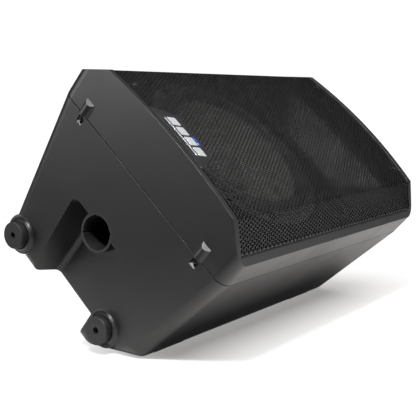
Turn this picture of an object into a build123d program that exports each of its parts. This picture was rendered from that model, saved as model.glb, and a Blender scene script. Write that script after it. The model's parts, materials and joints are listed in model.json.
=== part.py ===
"""Portable two-way powered loudspeaker lying in its floor-monitor (wedge) position.

Modelled in cabinet axes (X along the length, Y across, Z out of the grille) and then
turned about X so that the wedge face lies on the ground.
"""
import os
from math import atan, cos, degrees, radians, sin

from build123d import *

os.makedirs("parts", exist_ok=True)

# cabinet
wedge_angle = 42.7
length = 401.0
half_width = 131.5
seam = -56.0
seam_gap = 1.0
back = -242.4
end_bulge = 10.5
wall = 3.5
corner_radius = 14.0
far_back = 99.7
near_back = -59.2
wedge_side = -113.5
wedge_depth = -192.3
rear_draft_bottom = 0.041
rear_draft_top = 0.063
front_draft = 0.030
front_edge = -29.0
front_bend = 98.0
front_crown = 5.5
rim = 6.5
rim_height = 1.2

# grille
grille_thickness = 1.2
grille_gap = 0.4
grille_screw_spread = 75.0
grille_screw_ends = (14.5, 388.0)

# baffle and woofer
baffle_front = -24.0
baffle_thickness = 4.0
woofer_x = 135.0
flange_radius = 104.0
flange_thickness = 2.0
basket_radius = 92.0
cone_radius = 79.0
coil_radius = 25.4
magnet_radius = 50.0

# horn
horn_x = 322.0
horn_length = 112.0
horn_width = 196.0
horn_depth = 84.0
throat_radius = 12.5
horn_lip = 10.0
horn_screw_spread = 50.0
throat_x = 308.0
driver_radius = 34.0
driver_depth = 44.0

# reflex ports
port_x = 228.0
port_spread = 93.0
port_radius = 15.0
port_depth = 76.0

# pole socket and its recess
pole_y = 6.5
pole_z = -135.4
pole_radius = 18.0
pole_wall = 2.7
pole_depth = 74.0
recess_depth = 38.0
recess_front = -128.0

# feet, lugs and pads
foot_radius = 14.5
foot_face = -6.4
foot_thickness = 8.4
foot_ring = 1.5
foot_collar = 0.8
foot_spots = ((81.0, -221.0), (-64.0, -203.5))
lug_spread = 95.0
lug_radius = 7.0
lug_height = 4.5
lug_front = -38.5
lug_tip = 4.5
lug_scoop = 9.0
pad_length = 52.0
pad_proud = 1.0
land_back = 9.0
land_side = 16.0
land_step = 2.0

# handle
handle_half = 65.0
handle_low = -172.0
handle_high = -112.0
handle_floor = 350.0
handle_bar = (20.0, 26.0)

# rear panel
panel_x = (92.0, 366.0)
panel_y = (-46.0, 84.0)
panel_recess = 10.0
panel_thickness = 2.0
panel_ledge = 8.0
fin_height = 8.6
knob_radius = 8.5
knob_height = 8.5
knob_spots = {"knob_level_one": (300.0, -22.0), "knob_level_two": (300.0, 60.0), "knob_tone": (300.0, 19.0)}
button_spots = {"button_one": (270.0, -22.0), "button_two": (270.0, 60.0)}
button_size = 7.0
button_gap = 0.3
jack_spots = ((338.0, -22.0), (338.0, 60.0))
jack_radius = 12.0
output_spot = (338.0, 19.0)
output_radius = 9.6
switch_spot = (122.0, -12.0)
switch_size = (26.0, 15.0)
rocker_tilt = 7.0
inlet_spot = (122.0, 46.0)
inlet_size = (26.0, 48.0)
led_spots = ((274.0, 9.0), (274.0, 19.0), (274.0, 29.0))

# fasteners
panel_face = back + panel_recess
panel_inside = panel_face + panel_thickness
end_radius = (half_width**2 + end_bulge**2) / (2 * end_bulge)
foot_seat = foot_face + foot_thickness


def block(x0, x1, y0, y1, z0, z1):
    return Pos((x0 + x1) / 2, (y0 + y1) / 2, (z0 + z1) / 2) * Box(x1 - x0, y1 - y0, z1 - z0)


def post(x, y, low, high, radius):
    return Pos(x, y, (low + high) / 2) * Cylinder(radius, high - low)


def tube(x, y, low, high, outer, inner):
    return post(x, y, low, high, outer) - post(x, y, low - 1, high + 1, inner)


def rod(y, z, low, high, radius):
    return Pos((low + high) / 2, y, z) * Rot(0, 90, 0) * Cylinder(radius, high - low)


def soft_block(x0, x1, y0, y1, z0, z1, radius):
    sketch = Pos((x0 + x1) / 2, (y0 + y1) / 2) * RectangleRounded(x1 - x0, y1 - y0, radius)
    return extrude(Plane.XY.offset(z0) * sketch, amount=z1 - z0)


def centred(x, y, wide, tall, z0, z1, radius=0.0):
    box = x - wide / 2, x + wide / 2, y - tall / 2, y + tall / 2, z0, z1
    return soft_block(*box, radius) if radius else block(*box)


def spun(points):
    return revolve(Plane.XZ * make_face(Polyline(*points, close=True)), Axis.Z)


def across(points, low, high):
    return extrude(Plane.YZ.offset(low) * make_face(Polyline(*points, close=True)), amount=high - low)


def lengthwise(points, reach):
    return extrude(Plane.XZ * make_face(Polyline(*points, close=True)), amount=reach, both=True)


def join(shapes):
    total = shapes[0]
    for shape in shapes[1:]:
        total = total + shape
    return total


def apart(shapes):
    return Compound(children=[solid for shape in shapes for solid in shape.solids()])


def end_cylinder(inset, draft):
    centre = length + end_bulge - end_radius
    tilt = Rot(0, degrees(atan(draft)), 0)
    return Pos(centre, 0, seam) * tilt * Cylinder(end_radius - inset, 700)


def end_reach(y, z, draft):
    drop = end_radius - (end_radius**2 - y**2) ** 0.5
    return length + end_bulge - drop + draft * (z - seam)


def foot_of(z):
    return rear_draft_bottom * (seam - z)


def round_ends(solid, radius):
    low = solid.faces().sort_by(Axis.X)[0]
    high = solid.faces().sort_by(Axis.X)[-1]
    edges = [
        edge for face in (low, high) for edge in face.edges() if abs(edge.center().Z - top_of(solid)) > 0.5
    ]
    return fillet(edges, radius) if radius > 4.5 else solid


def top_of(solid):
    return solid.bounding_box().max.Z


def rear_profile(inset):
    lead = 30.0
    far_slope = (half_width - far_back) / (seam - back)
    near_slope = (half_width + wedge_side) / (seam - wedge_depth)
    points = [
        (half_width + lead * far_slope, seam + lead),
        (far_back, back),
        (near_back, back),
        (wedge_side, wedge_depth),
        (-half_width - lead * near_slope, seam + lead),
    ]
    face = make_face(Polyline(*points, close=True))
    rounded = fillet([vertex for vertex in face.vertices() if vertex.Y < seam], corner_radius + 1.0)
    return offset(rounded, amount=-inset, kind=Kind.INTERSECTION) if inset else rounded


def rear_block(inset, top=seam - seam_gap):
    prism = extrude(Plane.YZ.offset(-40) * rear_profile(inset), amount=length + 100)
    side = [
        (inset - rear_draft_bottom * 40, seam + 40),
        (inset + rear_draft_bottom * 260, seam - 260),
        (length + 60, seam - 260),
        (length + 60, seam + 40),
    ]
    solid = prism & lengthwise(side, 300) & end_cylinder(inset, rear_draft_top)
    solid = solid & block(-60, length + 60, -300, 300, back - 50, top)
    return round_ends(solid, corner_radius - inset * 0.8)


def front_outline(inset):
    shift = inset * 1.05
    low = (half_width - inset, front_edge - inset * 0.45)
    bend = (front_bend, -shift)
    arc = ThreePointArc(bend, (0, front_crown - inset), (-bend[0], bend[1]))
    bottom = seam - 30
    line = Polyline((-bend[0], bend[1]), (-low[0], low[1]), (-low[0], bottom), (low[0], bottom), low, bend)
    return make_face(line + arc)


def front_block(inset, low=seam):
    prism = extrude(Plane.YZ.offset(-40) * front_outline(inset), amount=length + 100)
    side = [
        (inset - front_draft * 80, seam + 80),
        (inset + front_draft * 40, seam - 40),
        (length + 60, seam - 40),
        (length + 60, seam + 80),
    ]
    solid = prism & lengthwise(side, 300) & end_cylinder(inset, front_draft)
    solid = solid & block(-60, length + 60, -300, 300, low, 60)
    upright = solid.edges().filter_by(lambda edge: abs(abs(edge.center().Y) - half_width + inset) < 1.5)
    upright = [edge for edge in upright if abs(edge.tangent_at(0.5).Z) > 0.9]
    return fillet(upright, corner_radius - inset * 0.8)


def screw(x, y, face, outward, head_radius, head_height, shaft_radius, reach):
    """Pan-head screw along Z with the underside of its head on the given face."""
    crown = face + outward * head_height
    head = post(x, y, min(face, crown), max(face, crown), head_radius)
    tip = face - outward * reach
    shaft = post(x, y, min(face, tip), max(face, tip), shaft_radius)
    slot_low = face + outward * head_height * 0.45
    slot_high = face + outward * (head_height + 1)
    low, high = min(slot_low, slot_high), max(slot_low, slot_high)
    cross = block(x - head_radius * 0.55, x + head_radius * 0.55, y - 0.45, y + 0.45, low, high)
    cross = cross + block(x - 0.45, x + 0.45, y - head_radius * 0.55, y + head_radius * 0.55, low, high)
    return head + shaft - cross


def around(radius, count, first):
    angles = [radians(first + 360 / count * step) for step in range(count)]
    return [(radius * cos(angle), radius * sin(angle)) for angle in angles]


nodes = {}

# ---------------------------------------------------------------- rear shell
outer = rear_block(0.0)
inner = rear_block(wall, seam + 5)


def recess_shape(grow):
    face_far = ((pole_y + 46.5 + grow, recess_front + grow), (pole_y + 41.5 + grow, back - 10))
    face_near = ((pole_y - 46.0 - grow, recess_front + grow), (pole_y - 54.0 - grow, back - 10))
    lean = 9.0
    mouth = Polyline(face_far[0], face_far[1], face_near[1], face_near[0], close=True)
    floor_points = [
        (face_far[0][0] - lean, recess_front - 3 + grow),
        (face_far[1][0] - lean, back - 10),
        (face_near[1][0] + lean, back - 10),
        (face_near[0][0] + lean, recess_front - 3 + grow),
    ]
    mouth_face = make_face(mouth)
    mouth_face = fillet(mouth_face.vertices().sort_by(Axis.Y)[2:], 9 + grow)
    floor_face = make_face(Polyline(*floor_points, close=True))
    floor_face = fillet(floor_face.vertices().sort_by(Axis.Y)[2:], 9 + grow)
    start = Plane.YZ.offset(-2)
    finish = Plane.YZ.offset(foot_of(back) + recess_depth + grow)
    solid = loft([start * mouth_face, finish * floor_face])
    edges = solid.faces().sort_by(Axis.X)[-1].edges()
    soft = [edge for edge in edges if edge.center().Z > back - 5]
    return fillet(soft, 7.0)


def handle_shape(grow):
    side = handle_half + grow
    solid = soft_block(handle_low - grow, handle_high + grow, -side, side, 0, 80, 12 + grow)
    return Pos(handle_floor - grow, 0, 0) * Rot(0, 90, 0) * Rot(0, 0, 180) * solid


recess = recess_shape(0.0)
recess_skin = recess_shape(wall)
pocket = handle_shape(0.0)
pocket_skin = handle_shape(wall)
panel_hole = soft_block(*panel_x, *panel_y, back - 5, panel_face, 8)
panel_skin = soft_block(
    panel_x[0] - wall, panel_x[1] + wall, panel_y[0] - wall, panel_y[1] + wall,
    back - 5, panel_inside + wall, 8 + wall,
)
panel_window = soft_block(
    panel_x[0] + panel_ledge, panel_x[1] - panel_ledge, panel_y[0] + panel_ledge, panel_y[1] - panel_ledge,
    back - 5, panel_inside + 20, 4,
)
socket_outer = pole_radius + pole_wall
socket_boss = rod(pole_y, pole_z, 0, 30, socket_outer + 0.2 + wall)
hollow = inner - recess_skin - pocket_skin - panel_skin - socket_boss
rear = outer - hollow - recess - pocket - panel_hole - panel_window
rear = rear - soft_block(*panel_x, *panel_y, panel_face - 1, panel_inside, 8)
rear = rear - rod(pole_y, pole_z, -20, 90, socket_outer + 0.2)

# raised lands and sunk middle of the wedge face
face_run = ((near_back - wedge_side) ** 2 + (back - wedge_depth) ** 2) ** 0.5
wedge_frame = Pos(0, wedge_side, wedge_depth) * Rot(-wedge_angle, 0, 0)
channel_points = [
    (land_side, 0),
    (land_side + land_step, land_step),
    (face_run - land_back - land_step, land_step),
    (face_run - land_back, 0),
    (face_run - land_back, -5),
    (land_side, -5),
]
channel = wedge_frame * across(channel_points, -40, length + 60)
rear = rear - channel

# screw lugs at both ends, bosses for the feet
lug_screw_axis = 2.0
lug_spots = []
for end in ("bottom", "top"):
    for side in (-1, 1):
        level = 0.0 if end == "bottom" else end_reach(lug_spread, seam, 0)
        lug_spots.append((level, 1 if end == "bottom" else -1, side * lug_spread))


def lug_box(level, turn, y, depth_out, depth_in, half, z0, z1):
    x_out = level - turn * depth_out
    x_in = level + turn * depth_in
    return block(min(x_out, x_in), max(x_out, x_in), y - half, y + half, z0, z1)


def lug_wedge(level, turn, y, half, points):
    return Pos(0, y, 0) * lengthwise([(level - turn * out, z) for out, z in points], half)


for level, turn, y in lug_spots:
    top = seam - 4
    scoop = [(6, top), (-6.5, top), (-6.5, top - 2), (0.6, top - lug_scoop), (6, top - lug_scoop)]
    rear = rear + (lug_box(level, turn, y, 0.0, 10.0, lug_radius + 1.5, seam - 18, seam - seam_gap) & outer)
    rear = rear - lug_wedge(level, turn, y, lug_radius - 3.2, scoop)
    rear = rear - post(level + turn * lug_screw_axis, y, seam - 6, seam + 1, 1.75)

shell_prism = extrude(Plane.YZ.offset(-40) * rear_profile(0.0), amount=length + 100)
for y, z in foot_spots:
    root = foot_of(z)
    rise = root - foot_collar
    tip = foot_radius + foot_ring
    bow = rise * (1 - 0.7071)
    flank = ThreePointArc((tip, foot_collar), (tip + bow, root - bow), (tip + rise, root))
    line = Polyline(
        (tip + rise, root), (tip + rise, root + 3), (0, root + 3), (0, foot_seat), (tip, foot_seat),
        (tip, foot_collar),
    )
    boss = Pos(0, y, z) * Rot(0, 90, 0) * revolve(Plane.XZ * make_face(flank + line), Axis.Z)
    boss = (boss & shell_prism) - recess
    dish = rod(y, z, foot_seat - 0.5, foot_seat + 1.5, foot_radius + 0.1)
    rear = rear + boss - dish - rod(y, z, foot_seat, root + 2, 1.6)

# pads let into the wedge lands
pad_centres = (62.0, 338.0)
pad_rows = ((land_side / 2, 10.0), (face_run - land_back / 2, 6.0))
pads = []
for x in pad_centres:
    for run, width in pad_rows:
        low = (run - width / 2, -pad_proud)
        half = pad_length / 2
        pad = soft_block(x - half, x + half, low[0], low[0] + width, -pad_proud, 1.0, 2.5)
        pads.append(wedge_frame * pad)
for pad in pads:
    rear = rear - pad
nodes["wedge_pads"] = apart(pads)

# ---------------------------------------------------------------- front shell
baffle_slab = block(-9, length + 20, -half_width, half_width, baffle_front - baffle_thickness, baffle_front)
front = front_block(0.0) - front_block(wall, seam - 10) + (front_block(wall - 0.5, seam) & baffle_slab)
side_limit = half_width - rim
pocket_block = block(rim - 2, length + 40, -side_limit, side_limit, baffle_front, 60)
pocket_block = pocket_block & (Pos(-rim, 0, 0) * end_cylinder(0, 0))
front = front - pocket_block
front = front - post(woofer_x, 0, seam, 0, basket_radius + 0.5)
horn_box = (horn_x - horn_length / 2, horn_x + horn_length / 2, -horn_width / 2, horn_width / 2)
front = front - soft_block(
    horn_box[0] - 3.4, horn_box[1] + 3.4, horn_box[2] - 3.4, horn_box[3] + 3.4, seam, 0, 21
)
for side in (-1, 1):
    front = front - post(port_x, side * port_spread, seam, 0, port_radius + 2.1)

grille_screws = [(x, side * grille_screw_spread) for x in grille_screw_ends for side in (-1, 1)]
for x, y in grille_screws:
    front = front + post(x, y, baffle_front - 0.5, -3.2, 5.0)
front = front & front_block(0.0)
for level, turn, y in lug_spots:
    centre = level + turn * (lug_radius - lug_height)
    lug = post(centre, y, seam, lug_front, lug_radius)
    sloped = [(9, lug_front - lug_tip * 1.7), (-1, lug_front), (-1, 0), (9, 0)]
    lug = lug - lug_wedge(level, turn, y, 20, sloped)
    front = front + lug - post(level + turn * lug_screw_axis, y, seam - 1, seam + 12, 1.5)
nodes["shell_screws"] = apart([
    screw(level + turn * lug_screw_axis, y, seam - 4.0, -1, 3.0, 2.4, 1.4, 13)
    for level, turn, y in lug_spots
])

# seal between the shells
seal_outer = front_block(1.2, seam - 10)
seal_inner = front_block(wall, seam - 10)
seal_slab = block(-60, length + 60, -300, 300, seam - seam_gap, seam)
seal = (seal_outer - seal_inner) & seal_slab
for level, turn, y in lug_spots:
    seal = seal - post(level + turn * lug_screw_axis, y, seam - 6, seam + 1, 1.75)
nodes["shell_seal"] = seal

# ---------------------------------------------------------------- grille
grille_outer = front_outline(rim_height)
grille_inner = front_outline(rim_height + grille_thickness)
grille = extrude(Plane.YZ.offset(-40) * (grille_outer - grille_inner), amount=length + 100)
grille_side = side_limit - grille_gap
grille = grille & block(
    rim - 2 + grille_gap, length + 40, -grille_side, grille_side, baffle_front + 0.3, 60
)
grille = grille & (Pos(-rim - grille_gap, 0, 0) * end_cylinder(0, 0))
for x, y in grille_screws:
    grille = grille - post(x, y, -10, 20, 1.7)
nodes["grille_screws"] = apart([screw(x, y, 1.3, 1, 3.2, 1.4, 1.5, 9.0) for x, y in grille_screws])
for x, y in grille_screws:
    front = front - post(x, y, -9.5, 5, 1.6)

# badge
badge_points = [(5.0, -42.0), (5.0, 42.0), (33.0, 27.5), (33.0, -26.5)]
badge_face = make_face(Polyline(*badge_points, close=True))
badge_prism = extrude(Plane.XY.offset(-5) * fillet(badge_face.vertices(), 1.5), amount=30)
badge_section = front_outline(rim_height - 1.6) - front_outline(rim_height)
over = extrude(Plane.YZ.offset(-40) * badge_section, amount=200)
badge = badge_prism & over
glyph_low = (-25.5, -12.0, 1.5, 15.0)
glyphs = []
for low in glyph_low:
    corners = [(14.8, low), (14.8, low + 11.0), (25.2, low + 9.0), (25.2, low - 2.0)]
    glyph = fillet(make_face(Polyline(*corners, close=True)).vertices(), 1.0)
    glyphs.append(extrude(Plane.XY.offset(-5) * glyph, amount=30))
glyphs.append(soft_block(11.2, 12.6, -25.5, 26.0, -5, 25, 0.6))
raised_section = front_outline(rim_height - 2.0) - front_outline(rim_height - 1.6)
raised = extrude(Plane.YZ.offset(-40) * raised_section, amount=200)
nodes["badge_marks"] = apart([glyph & raised for glyph in glyphs])
light = soft_block(27.4, 29.2, -14.0, -2.0, -5, 25, 0.8)
nodes["badge_light"] = light & raised
nodes["badge"] = badge
nodes["grille"] = grille

# ---------------------------------------------------------------- woofer
woofer = Pos(woofer_x, 0, baffle_front)
basket_wall = spun([
    (basket_radius - 1.6, flange_thickness), (basket_radius - 1.6, -3), (58, -42), (50, -42), (50, -44),
    (55, -44), (55, -56), (29, -56), (29, -58.5), (58, -58.5), (61, -43), (basket_radius, -5),
    (basket_radius, 0),
    (flange_radius, 0), (flange_radius, flange_thickness),
])
for x, y in around(76, 6, 30):
    window = Rot(0, 0, degrees(atan(y / x)) if x else 90) * Box(60, 34, 26)
    basket_wall = basket_wall - Pos(x, y, -24) * window
screw_ring = around(98.0, 8, 22.5)
for x, y in screw_ring:
    basket_wall = basket_wall - post(x, y, -20, 10, 2.2)
nodes["woofer_basket"] = woofer * basket_wall
nodes["woofer_screws"] = apart([
    woofer * screw(x, y, flange_thickness, 1, 3.6, 2.2, 1.9, 12.0) for x, y in screw_ring
])
for x, y in screw_ring:
    front = front - post(woofer_x + x, y, seam, baffle_front, 2.0)
gasket = tube(0, 0, flange_thickness, flange_thickness + 2.2, 93.6, basket_radius - 1.6)
nodes["woofer_gasket"] = woofer * gasket

roll = [(0.5 * (cone_radius + 0.5 + basket_radius - 2.0)), 0.5 * (basket_radius - 2.0 - cone_radius - 0.5)]
roll_level = flange_thickness + 0.6
roll_points = []
for step in range(13):
    angle = radians(180 - 15 * step)
    roll_points.append((roll[0] + roll[1] * cos(angle), roll_level + roll[1] * sin(angle)))
for step in range(13):
    angle = radians(15 * step)
    roll_points.append((roll[0] + (roll[1] - 0.9) * cos(angle), roll_level + (roll[1] - 0.9) * sin(angle)))
surround_lip = spun([
    (cone_radius - 3.5, flange_thickness + 0.6), (cone_radius + 1.2, flange_thickness + 0.6),
    (cone_radius + 1.2, flange_thickness + 1.5), (cone_radius - 3.5, flange_thickness + 1.5),
])
nodes["surround"] = woofer * (spun(roll_points) + surround_lip)
cone_profile = [
    (cone_radius, roll_level), (cone_radius - 4, roll_level), (60, -10.5), (coil_radius + 1.0, -34),
    (coil_radius + 1.0, -35.6), (60, -12.2), (cone_radius - 3, flange_thickness - 0.7),
    (cone_radius, flange_thickness - 0.7),
]
nodes["cone"] = woofer * spun(cone_profile)
former = tube(0, 0, -64, -33, coil_radius + 0.4, coil_radius)
winding = tube(0, 0, -64, -52, coil_radius + 1.0, coil_radius + 0.4)
coil_ring = tube(0, 0, -35.6, -34, coil_radius + 1.0, coil_radius + 0.4)
nodes["voice_coil"] = woofer * (former + winding + coil_ring)
cap_radius = 30.0
cap_low = -46.5 + (40.0**2 - cap_radius**2) ** 0.5
cap = Pos(0, 0, -46.5) * (Sphere(40.0) - Sphere(39.0))
nodes["dust_cap"] = woofer * (cap & block(-40, 40, -40, 40, cap_low - 0.2, 0))
ripple = [(coil_radius + 1.7, -42.4)]
for step in range(1, 9):
    ripple.append((coil_radius + 1.7 + step * 2.6, -42.4 + (1.6 if step % 2 else 0.0)))
ripple_back = [(radius, level - 0.9) for radius, level in reversed(ripple)]
spider_end = 52.5
ripple_top = ripple + [(spider_end, -42.4)]
nodes["spider"] = woofer * (Pos(0, 0, 1.3) * spun(ripple_top + [(spider_end, -43.3)] + ripple_back))
nodes["top_plate"] = woofer * tube(0, 0, -64.5, -58.5, magnet_radius + 3, coil_radius + 1.6)
nodes["magnet"] = woofer * tube(0, 0, -80.5, -64.5, magnet_radius, coil_radius + 4.6)
pole_piece = post(0, 0, -80.5, -58.5, coil_radius - 0.6)
nodes["back_plate"] = woofer * (post(0, 0, -86.5, -80.5, magnet_radius - 1) + pole_piece)

# ---------------------------------------------------------------- horn
def horn_solid(grow, lip):
    mouth = Plane.XY.offset(baffle_front + lip) * (
        Pos(horn_x, 0) * RectangleRounded(horn_length + 2 * grow, horn_width + 2 * grow, 18 + grow)
    )
    middle = Plane.XY.offset(baffle_front - horn_depth * 0.55) * (
        Pos((horn_x + throat_x) / 2, 0) * RectangleRounded(52 + 2 * grow, 74 + 2 * grow, 14 + grow)
    )
    throat = Plane.XY.offset(baffle_front - horn_depth - 6 + lip) * (
        Pos(throat_x, 0) * Circle(throat_radius + grow)
    )
    return loft([mouth, middle, throat], ruled=True)


horn_flange = soft_block(
    horn_box[0] - horn_lip, horn_box[1] + horn_lip, horn_box[2] - 6, horn_box[3] + 6,
    baffle_front, baffle_front + 3, 23,
)
horn_back = baffle_front - horn_depth
horn_plate = tube(throat_x, 0, horn_back - 4, horn_back, driver_radius - 4, throat_radius)
horn = horn_solid(3.0, 0.5) + horn_flange + horn_plate
horn = horn - horn_solid(0.0, 4.0)
horn = horn - post(throat_x, 0, horn_back - 5, horn_back + 1, throat_radius)
horn_bolts = [
    (horn_x + dx * (horn_length / 2 + 6.5), dy * horn_screw_spread) for dx in (-1, 1) for dy in (-1, 0, 1)
]
for x, y in horn_bolts:
    horn = horn - post(x, y, baffle_front - 12, baffle_front + 5, 1.4)
for x, y in grille_screws:
    horn = horn - post(x, y, baffle_front - 1, baffle_front + 5, 5.3)
driver_top = baffle_front - horn_depth - 4
horn = horn - post(throat_x, 0, driver_top - 10, driver_top, driver_radius)
nodes["horn"] = horn
driver = post(throat_x, 0, driver_top - driver_depth, driver_top, driver_radius)
driver = driver - post(throat_x, 0, driver_top - 14, driver_top + 1, throat_radius)
driver = driver - tube(throat_x, 0, driver_top - 16, driver_top - 12, driver_radius + 5, driver_radius - 1.5)
nodes["compression_driver"] = driver
nodes["horn_screws"] = apart([screw(x, y, baffle_front + 3, 1, 2.6, 1.8, 1.3, 6.5) for x, y in horn_bolts])
for x, y in horn_bolts:
    front = front - post(x, y, baffle_front - 12, baffle_front + 0.5, 1.5)

# ---------------------------------------------------------------- ports
ports = []
for side in (-1, 1):
    pipe = post(port_x, side * port_spread, baffle_front - port_depth, baffle_front, port_radius + 2)
    lip = post(port_x, side * port_spread, baffle_front, baffle_front + 2.5, port_radius + 5.5)
    bore = post(port_x, side * port_spread, baffle_front - port_depth - 1, baffle_front + 5, port_radius)
    ports.append(pipe + lip - bore)
nodes["port_tubes"] = apart(ports)
nodes["front_shell"] = front

# ---------------------------------------------------------------- pole socket
floor_x = foot_of(back) + recess_depth + wall
socket_face = foot_of(pole_z)
socket = rod(pole_y, pole_z, socket_face, pole_depth + 3, socket_outer)
flange = block(floor_x, floor_x + 3, pole_y - 28, pole_y + 28, pole_z - 28, pole_z + 18)
socket_bolts = [(pole_y - 24.0, pole_z - 22.0), (pole_y + 24.0, pole_z - 22.0)]
rear = rear - block(floor_x, floor_x + 3, pole_y - 28.2, pole_y + 28.2, pole_z - 28.2, pole_z + 18.2)
socket = socket + flange - rod(pole_y, pole_z, -5, pole_depth, pole_radius)
for index in range(4):
    angle = radians(45 + 90 * index)
    groove_y = pole_y + pole_radius * cos(angle)
    groove_z = pole_z + pole_radius * sin(angle)
    socket = socket - rod(groove_y, groove_z, -5, pole_depth - 5, 1.2)
bolts = []
for y, z in socket_bolts:
    hole = rod(y, z, floor_x - 3.0, floor_x + 4, 1.5)
    socket = socket - hole
    rear = rear - hole
    bolts.append(rod(y, z, floor_x - 2.6, floor_x + 3, 1.4) + rod(y, z, floor_x + 3, floor_x + 5, 3.0))
nodes["pole_socket"] = socket
nodes["pole_screws"] = apart(bolts)

# ---------------------------------------------------------------- feet
feet = []
foot_pins = []
for y, z in foot_spots:
    foot = rod(y, z, foot_face, foot_seat + 1.5, foot_radius)
    foot = chamfer(foot.edges().sort_by(Axis.X)[:1], 0.8)
    foot = foot - rod(y, z, foot_face - 1, foot_face + 5.5, 3.6) - rod(y, z, foot_face, foot_seat + 3, 1.6)
    feet.append(foot)
    pin = rod(y, z, foot_face + 3.6, foot_face + 5.5, 2.9) + rod(y, z, foot_face + 5.5, foot_of(z) - 1, 1.45)
    cross = block(foot_face, foot_face + 4.6, y - 1.6, y + 1.6, z - 0.4, z + 0.4)
    cross = cross + block(foot_face, foot_face + 4.6, y - 0.4, y + 0.4, z - 1.6, z + 1.6)
    foot_pins.append(pin - cross)
nodes["end_feet"] = apart(feet)
nodes["foot_screws"] = apart(foot_pins)

# ---------------------------------------------------------------- handle
handle_middle = (handle_low + handle_high) / 2
bar_x1 = end_reach(handle_half, handle_middle, rear_draft_top) - 1.0
bar_x0 = bar_x1 - handle_bar[0]
bar = block(bar_x0, bar_x1, -handle_half + 0.3, handle_half - 0.3,
            handle_middle - handle_bar[1] / 2, handle_middle + handle_bar[1] / 2)
bar = fillet(bar.edges().filter_by(Axis.Y), 6.0)
handle_ledge = 15.0
for side in (-1, 1):
    y_out = side * handle_half
    y_in = side * (handle_half - handle_ledge)
    ledge = block(handle_floor - 1, bar_x0, min(y_out, y_in), max(y_out, y_in),
                  handle_middle - handle_bar[1] / 2, handle_middle + handle_bar[1] / 2)
    rear = rear + ledge
pins = []
for side in (-1, 1):
    y = side * (handle_half - handle_ledge / 2)
    hole = rod(y, handle_middle, bar_x0 - 14, bar_x1 + 2, 1.9)
    sink = rod(y, handle_middle, bar_x1 - 5, bar_x1 + 2, 4.2)
    bar = bar - hole - sink
    rear = rear - hole
    pin = rod(y, handle_middle, bar_x0 - 12, bar_x1 - 5, 1.8)
    pin = pin + rod(y, handle_middle, bar_x1 - 5, bar_x1 - 2.2, 4.0)
    pins.append(pin - rod(y, handle_middle, bar_x1 - 3.6, bar_x1, 1.6))
nodes["handle"] = bar
nodes["handle_screws"] = apart(pins)

# ---------------------------------------------------------------- rear panel
gap = 0.3
panel = soft_block(panel_x[0] + gap, panel_x[1] - gap, panel_y[0] + gap, panel_y[1] - gap,
                   panel_face, panel_inside - 0.5, 8 - gap)
nodes["panel_gasket"] = soft_block(panel_x[0] + gap, panel_x[1] - gap, panel_y[0] + gap, panel_y[1] - gap,
                                   panel_inside - 0.5, panel_inside, 8 - gap) - panel_window
panel_edge = 4.7
panel_bolts = []
for x in (panel_x[0] + panel_edge, (panel_x[0] + panel_x[1]) / 2, panel_x[1] - panel_edge):
    for y in (panel_y[0] + panel_edge, panel_y[1] - panel_edge):
        panel_bolts.append((x, y))
pins = []
for x, y in panel_bolts:
    hole = post(x, y, panel_face - 2, panel_inside + 2.8, 1.5)
    panel = panel - hole
    rear = rear - hole
    nodes["panel_gasket"] = nodes["panel_gasket"] - hole
    pins.append(screw(x, y, panel_face, -1, 2.9, 1.9, 1.4, 4.6))
nodes["panel_screws"] = apart(pins)
nodes["rear_shell"] = rear

fin_root = panel_face + 0.4
fins = [
    block(150, 250, -30 + 9.8 * step, -28 + 9.8 * step, panel_face - fin_height, fin_root)
    for step in range(11)
]
sink_plate = block(150, 250, -31, 71, fin_root, panel_inside - 0.5)
sink_plate = sink_plate + block(146, 249, -33.5, 73.5, panel_inside - 0.5, panel_inside + 5)
panel = panel - block(149.8, 250.2, -31.2, 71.2, panel_face - 1, panel_inside)
nodes["heat_sink"] = join([sink_plate] + fins)

board_level = panel_inside + 26.0
nodes["circuit_board"] = block(180, 356, -34, 72, board_level, board_level + 1.6)
stand_spots = [(256.0, -30.0), (256.0, 68.0), (352.0, -30.0), (352.0, 68.0)]
nodes["board_standoffs"] = apart([post(x, y, panel_inside - 0.5, board_level, 3.0) for x, y in stand_spots])
nodes["capacitors"] = apart([
    post(198 + 26 * step, 52 - 3 * step, board_level + 1.6, board_level + 29, 11) for step in range(2)
])
nodes["output_coils"] = apart([
    tube(206 + 30 * step, 4, board_level + 1.6, board_level + 11.6, 10, 4.5) for step in range(2)
])
nodes["power_board"] = block(101.5, 168, -34, 70, panel_inside + 40, panel_inside + 41.6)
nodes["transformer"] = tube(138, 18, panel_inside + 41.6, panel_inside + 69, 24, 8)
power_posts = [(105.0, -29.0), (105.0, 66.0), (164.0, -29.0), (164.0, 66.0)]
nodes["power_standoffs"] = apart([
    post(x, y, panel_inside - 0.5 + (5.5 if x > 149 else 0), panel_inside + 40, 3.0) for x, y in power_posts
])

# jacks, output plug, inlet
jacks = []
for x, y in jack_spots:
    hole = post(x, y, panel_face - 1, panel_inside, jack_radius + 0.1)
    panel = panel - hole
    body = post(x, y, panel_face - 1.2, panel_inside + 24, jack_radius)
    plate = soft_block(x - 15, x + 15, y - 13, y + 13, panel_face - 1.2, panel_face, 3)
    jack = body + plate - post(x, y, panel_face - 2, panel_inside + 18, 8.6)
    core = tube(x, y, panel_face + 2.0, panel_inside + 18, 6.6, 3.2)
    jacks.append(jack + core + post(x, y, panel_inside + 16, panel_inside + 18.5, 8.0))
nodes["input_jacks"] = apart(jacks)
x, y = output_spot
panel = panel - post(x, y, panel_face - 1, panel_inside, output_radius + 0.1)
plug = post(x, y, panel_face - 1.2, panel_inside + 20, output_radius)
plug = plug + soft_block(x - 15, x + 15, y - 13, y + 13, panel_face - 1.2, panel_face, 3)
nodes["output_plug"] = plug - post(x, y, panel_face - 2, panel_inside + 14, 8.0)
nodes["output_pins"] = apart([
    post(x + 4.2 * px, y + 4.2 * py, panel_face + 2, panel_inside + 14, 1.1)
    for px, py in ((1, 0), (-0.5, 0.87), (-0.5, -0.87))
])

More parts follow.
